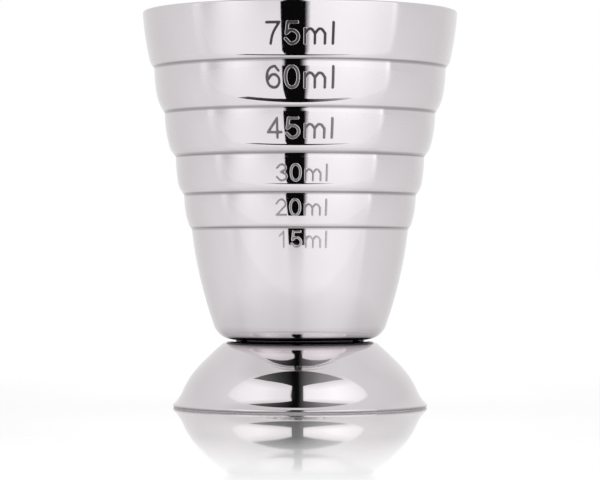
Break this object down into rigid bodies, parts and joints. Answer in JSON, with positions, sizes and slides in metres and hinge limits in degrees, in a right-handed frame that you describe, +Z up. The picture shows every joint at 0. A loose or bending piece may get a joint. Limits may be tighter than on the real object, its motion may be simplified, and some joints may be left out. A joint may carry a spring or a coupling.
{
  "type": "cocktail jigger",
  "caption": "Stepped stainless steel measuring cup on a hollow domed foot, with volume tiers that widen towards the rim, for measuring spirits when mixing drinks.",
  "frame": {"origin": "on the table under the middle of the foot", "axes": "+Z up along the axis of the cup, -Y towards the side that carries the volume marks"},
  "size_m": [0.055, 0.055, 0.069],
  "materials": {
    "cup_steel": "mirror polished stainless steel",
    "foot_steel": "mirror polished stainless steel",
    "weld_steel": "dull weld metal"
  },
  "bodies": {
    "root": {"measuring_cup": "cup_steel", "foot": "foot_steel", "weld_nuggets": "weld_steel"}
  },
  "joints": []
}
